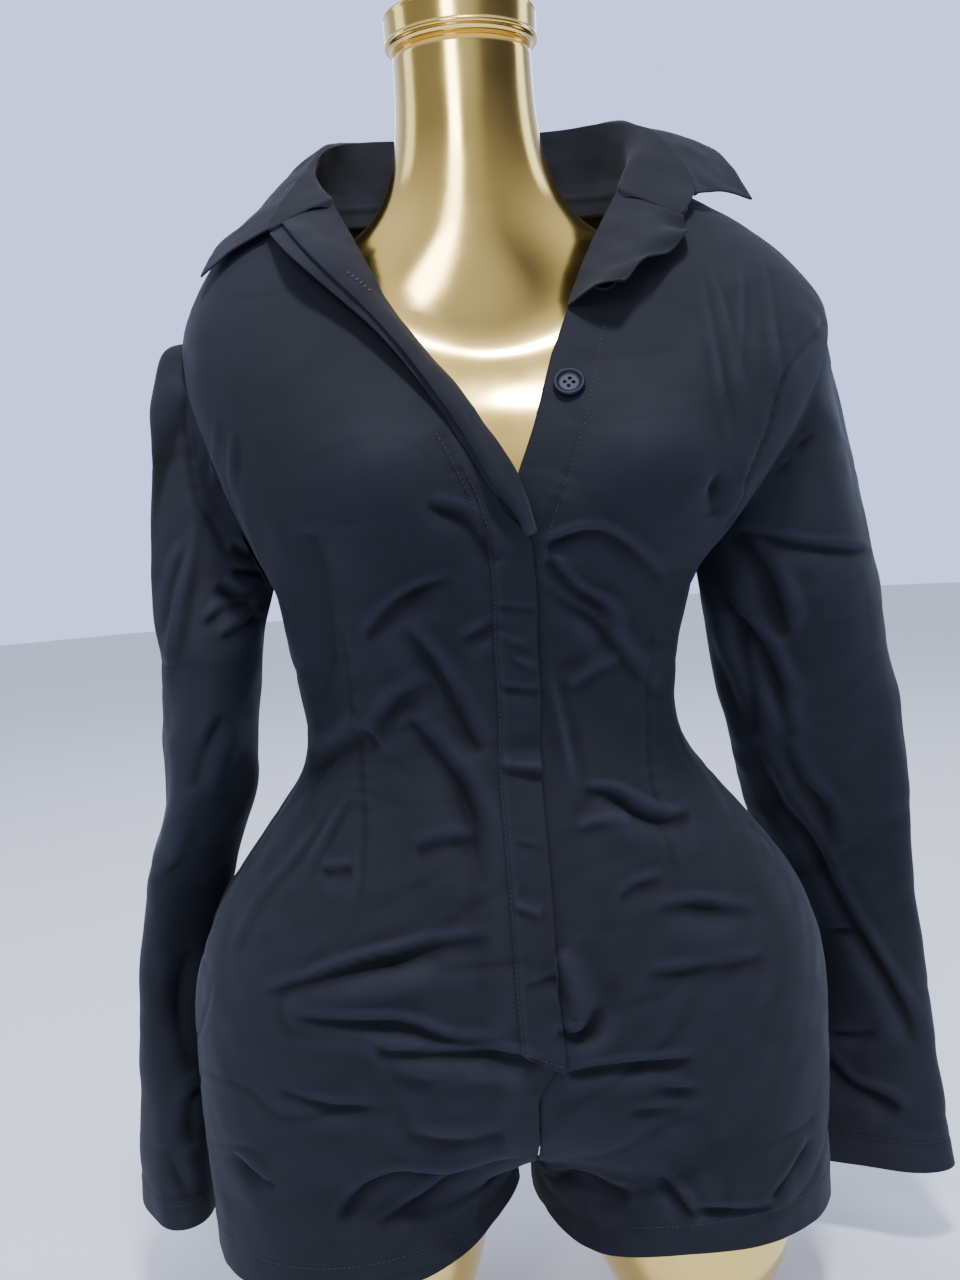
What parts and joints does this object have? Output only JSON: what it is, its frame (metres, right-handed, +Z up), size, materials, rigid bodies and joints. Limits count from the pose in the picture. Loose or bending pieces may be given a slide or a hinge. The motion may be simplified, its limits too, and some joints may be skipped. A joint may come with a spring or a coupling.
{
  "type": "romper on a limbless dress form",
  "caption": "Long-sleeved shirt-collar romper with a concealed button fly and very short legs, worn open at the neck by a limbless dress form that stands on thigh stubs.",
  "frame": {"origin": "on the surface the dress form stands on, under the middle of the whole object's box", "axes": "+Z up along the form's neck, the wearer faces -Y, and +X is the wearer's left"},
  "size_m": [0.5754, 0.2873, 0.8745],
  "materials": {
    "black_suiting": "soft matte woven suiting",
    "gold_plating": "smooth pale gold mirror plating over a moulded shell",
    "navy_button": "glossy near-black resin"
  },
  "bodies": {
    "root": {"front_right": "black_suiting", "front_left": "black_suiting", "back_right": "black_suiting", "back_left": "black_suiting", "sleeve_right_upper": "black_suiting", "sleeve_right_lower": "black_suiting", "sleeve_left_upper": "black_suiting", "sleeve_left_lower": "black_suiting", "collar_stand": "black_suiting", "collar_fall": "black_suiting", "facing_right": "black_suiting", "facing_left": "black_suiting", "fly_turned": "black_suiting", "fly_cover": "black_suiting", "button_open": "navy_button", "button_turned": "navy_button", "form_body": "gold_plating", "neck_cap": "gold_plating", "neck_knob": "gold_plating"}
  },
  "joints": []
}
